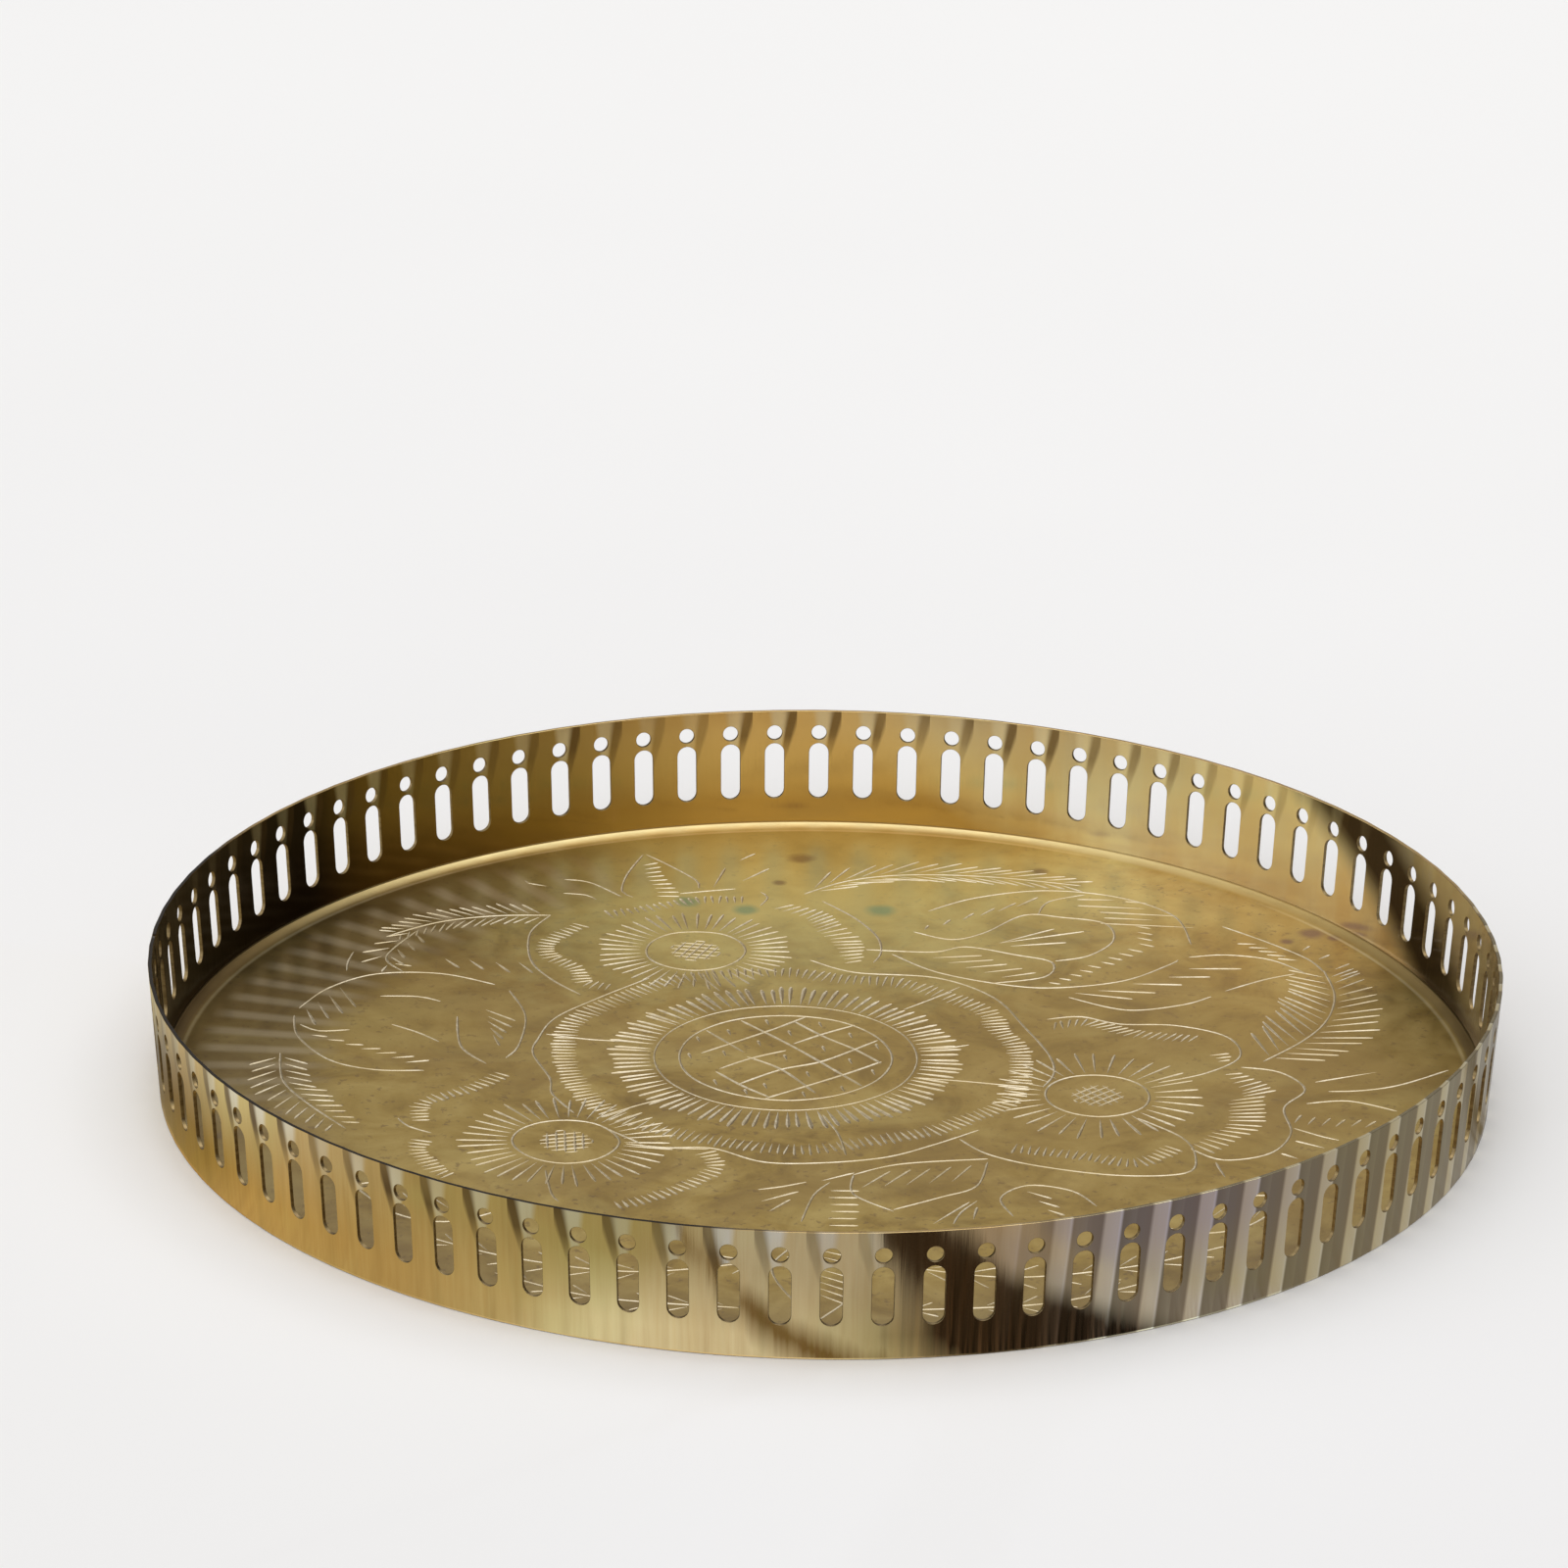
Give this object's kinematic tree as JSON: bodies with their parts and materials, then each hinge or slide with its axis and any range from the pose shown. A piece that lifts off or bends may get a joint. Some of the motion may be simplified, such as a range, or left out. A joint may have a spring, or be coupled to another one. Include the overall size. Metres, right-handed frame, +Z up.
{
  "type": "serving tray",
  "caption": "Round shallow brass tray: an engraved flower floor with a turned-up edge inside a slightly flared gallery band pierced with dots above upright slots.",
  "frame": {"origin": "middle of the underside, on the surface that the tray stands on", "axes": "+Z up through the middle of the tray; -Y towards the viewer; the band's closing seam is on the -X side"},
  "size_m": [0.35, 0.35, 0.0346],
  "materials": {
    "floor_brass": "aged, mottled, softly polished, engraved with bright cuts",
    "band_brass": "polished with fine upright brushing",
    "braze": "filed braze, a little paler than the sheet",
    "solder": "dull soft solder"
  },
  "bodies": {
    "root": {"base_plate": "floor_brass", "gallery_band": "band_brass", "band_seam": "braze", "edge_solder": "solder"}
  },
  "joints": []
}
